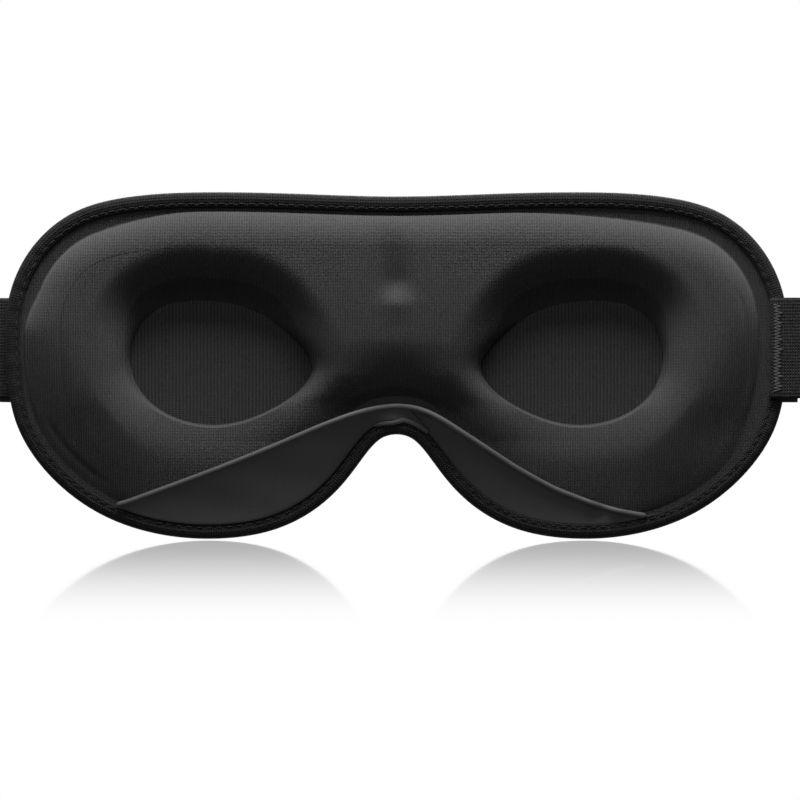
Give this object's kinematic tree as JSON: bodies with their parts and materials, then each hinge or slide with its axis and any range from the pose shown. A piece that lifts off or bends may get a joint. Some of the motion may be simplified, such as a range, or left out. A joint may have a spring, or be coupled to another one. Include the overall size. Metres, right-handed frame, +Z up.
{
  "type": "contoured sleep eye mask",
  "caption": "Contoured sleep mask with domed eye cups, padded rim, soft nose flap and an elastic head strap with a slider.",
  "frame": {"origin": "point on the pad's crest plane, midway between the eye cups, level with the strap's centre line, where the mask rests on the brow and nose bridge", "axes": "+Z up towards the forehead, +X to the right of someone looking at the face side, face side towards -Y, outer side and stored strap loop towards +Y"},
  "size_m": [0.3079, 0.0817, 0.1046],
  "materials": {
    "pad_jersey": "matte",
    "cup_fabric": "matte",
    "foam": "matte",
    "shell_fabric": "matte",
    "liner_film": "matte",
    "binding_tape": "matte",
    "thread": "matte",
    "flap_satin": "satin",
    "strap_elastic": "matte",
    "slider_plastic": "satin"
  },
  "bodies": {
    "mask": {"outer_shell": "shell_fabric", "blackout_liner": "liner_film", "foam_pad": "foam", "face_fabric": "pad_jersey", "cup_floor_left": "cup_fabric", "cup_floor_right": "cup_fabric", "edge_binding": "binding_tape", "binding_thread": "thread", "strap_end_left": "strap_elastic", "strap_end_right": "strap_elastic", "strap_backing_left": "flap_satin", "strap_backing_right": "flap_satin", "strap_tack_left": "thread", "strap_tack_right": "thread"},
    "nose_flap": {"flap_panel_left": "flap_satin", "flap_panel_right": "flap_satin", "flap_lining": "flap_satin", "flap_hem": "flap_satin"},
    "strap_loop": {"strap_left": "strap_elastic", "strap_right": "strap_elastic"},
    "slider": {"slider_frame": "slider_plastic", "strap_fold": "strap_elastic", "strap_bar_loop": "strap_elastic", "bar_loop_tack": "thread"},
    "strap_tail": {"tail_band": "strap_elastic", "tail_hem": "strap_elastic", "tail_tack": "thread"}
  },
  "joints": [
    {"name": "nose_flap_fold", "type": "hinge", "parent": "mask", "child": "nose_flap", "pos_m": [0, 0.004, -0.054], "axis": [1, 0, 0], "range_deg": [0, 15], "stiffness_Nm_per_rad": 0.02, "springref_deg": -2.86},
    {"name": "strap_swing", "type": "hinge", "parent": "mask", "child": "strap_loop", "pos_m": [0, 0.0025, 0], "axis": [1, 0, 0], "range_deg": [0, 180]},
    {"name": "slider_travel", "type": "slide", "parent": "strap_loop", "child": "slider", "axis": [1, 0, 0], "range_m": [-0.045, 0]},
    {"name": "tail_travel", "type": "slide", "parent": "slider", "child": "strap_tail", "axis": [1, 0, 0], "range_m": [-0.045, 0]}
  ],
  "couplings": [
    {"joint": "tail_travel", "follows": "slider_travel", "ratio": 1}
  ]
}
